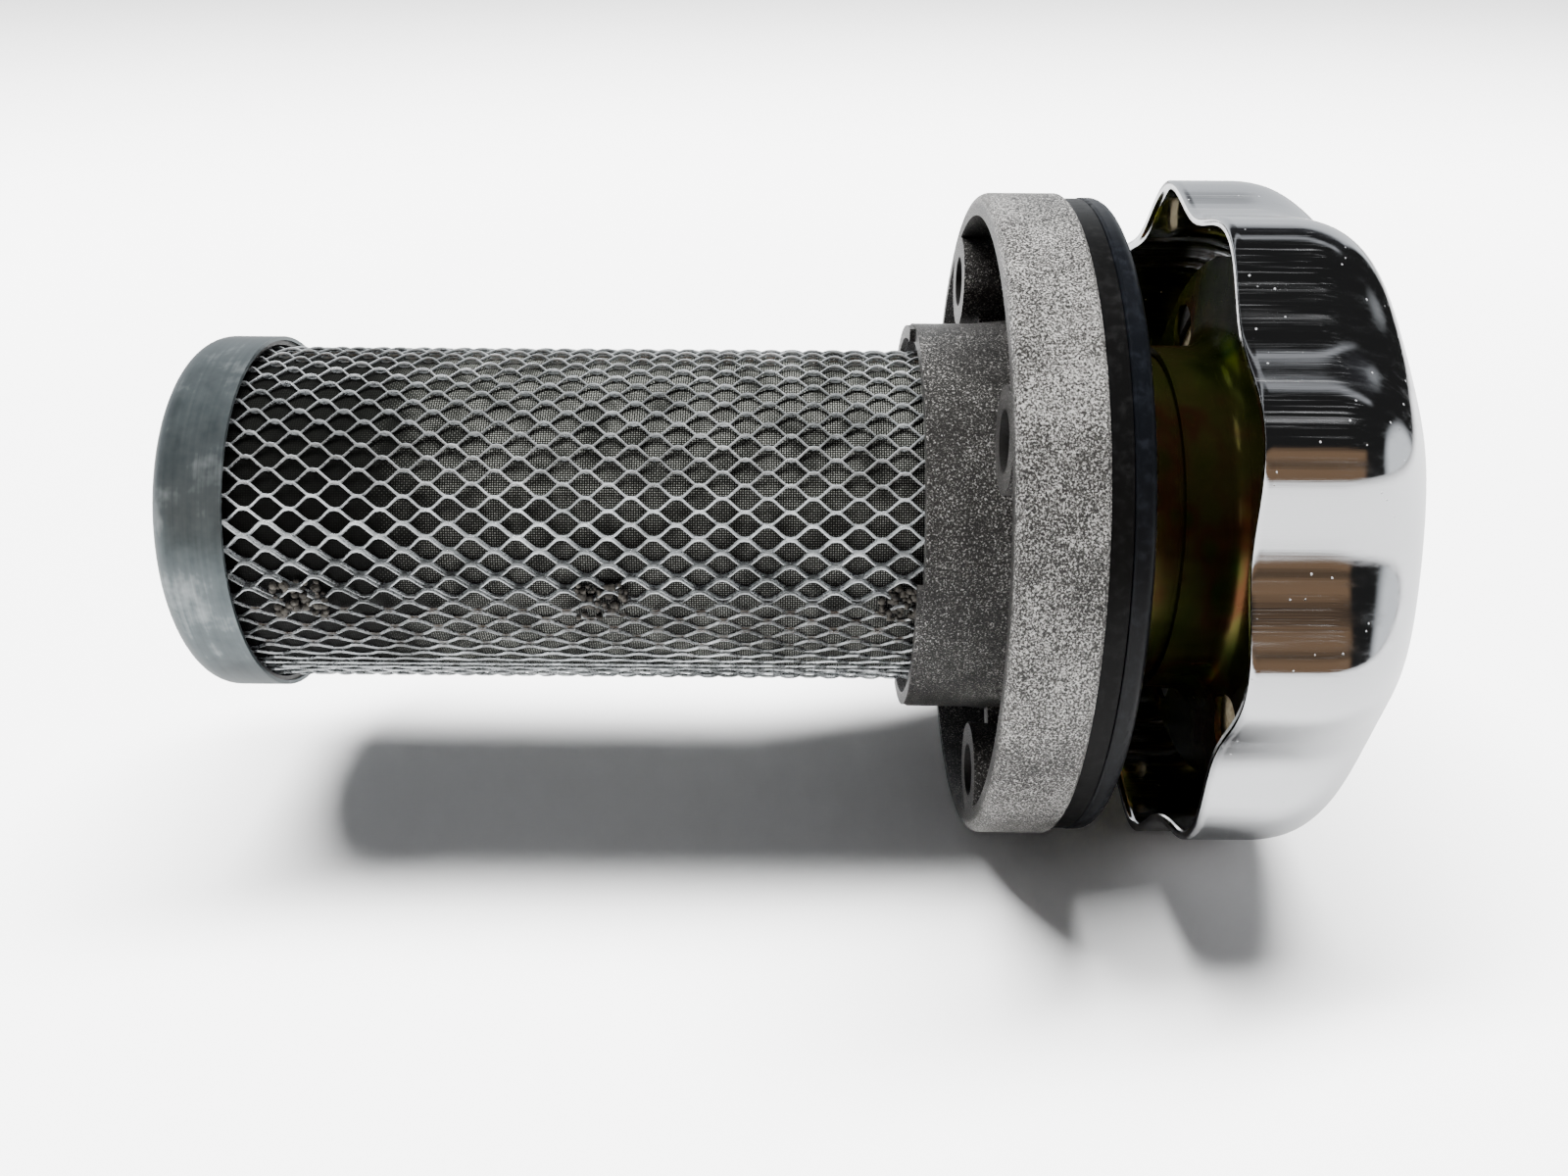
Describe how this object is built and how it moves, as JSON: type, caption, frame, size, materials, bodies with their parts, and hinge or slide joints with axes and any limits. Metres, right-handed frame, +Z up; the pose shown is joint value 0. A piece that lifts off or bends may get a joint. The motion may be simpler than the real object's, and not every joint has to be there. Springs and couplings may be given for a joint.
{
  "type": "filler breather",
  "caption": "Fluid tank filler breather: round screw-on flange with a long strainer basket below and a lobed vented bayonet cap above.",
  "frame": {"origin": "centre of the flange's tank-side face, on the bolt circle's axis", "axes": "+X along the axis from the strainer basket to the cap's crown, +Z up with the part lying on its side"},
  "size_m": [0.1456, 0.0868, 0.0834],
  "materials": {
    "die_cast": "shot-blasted die casting with a fine sparkle",
    "zinc_steel": "dull galvanised sheet",
    "strainer_steel": "bright rolled expanded metal",
    "wire_cloth": "fine plain weave",
    "spring_steel": "drawn wire",
    "potting_resin": "dark set resin",
    "black_rubber": "smooth moulded, satin",
    "yellow_chromate": "iridescent yellow chromate over zinc",
    "chrome": "polished with fine drawing marks",
    "bush_brass": "turned",
    "felt": "pressed felt",
    "filter_media": "coarse bonded fibre"
  },
  "bodies": {
    "flange": {"flange_casting": "die_cast", "basket_collar": "zinc_steel", "snap_ring": "spring_steel", "strainer_tube": "strainer_steel", "wire_cloth": "wire_cloth", "end_cup": "zinc_steel", "potting": "potting_resin", "seam_welds": "strainer_steel"},
    "gasket": {"cap_gasket": "black_rubber"},
    "cap": {"rubber_edge": "black_rubber", "base_plate": "yellow_chromate", "guide_bush": "bush_brass", "inner_cup": "yellow_chromate", "cap_shell": "chrome", "splash_baffle": "zinc_steel", "lower_felt": "felt", "filter_ring": "filter_media", "filter_sleeve": "zinc_steel", "upper_felt": "felt", "clamp_disc": "zinc_steel", "crown_stud": "zinc_steel", "clamp_nut": "zinc_steel", "draw_spring": "spring_steel"},
    "lug_carrier": {"lug_plate": "zinc_steel", "draw_bolt": "zinc_steel", "spring_seat": "zinc_steel", "lock_nut": "zinc_steel"}
  },
  "joints": [
    {"name": "cap_lift", "type": "slide", "parent": "flange", "child": "gasket", "axis": [1, 0, 0], "range_m": [0, 0.06]},
    {"name": "cap_twist", "type": "hinge", "parent": "gasket", "child": "cap", "pos_m": [0.012, 0, 0], "axis": [-1, 0, 0], "range_deg": [0, 60]},
    {"name": "lug_draw", "type": "slide", "parent": "cap", "child": "lug_carrier", "axis": [-1, 0, 0], "range_m": [0, 0.0016], "deforming": ["draw_spring"]}
  ],
  "couplings": [
    {"joint": "lug_draw", "follows": "cap_twist", "m_per_rad": 0.0014324}
  ]
}
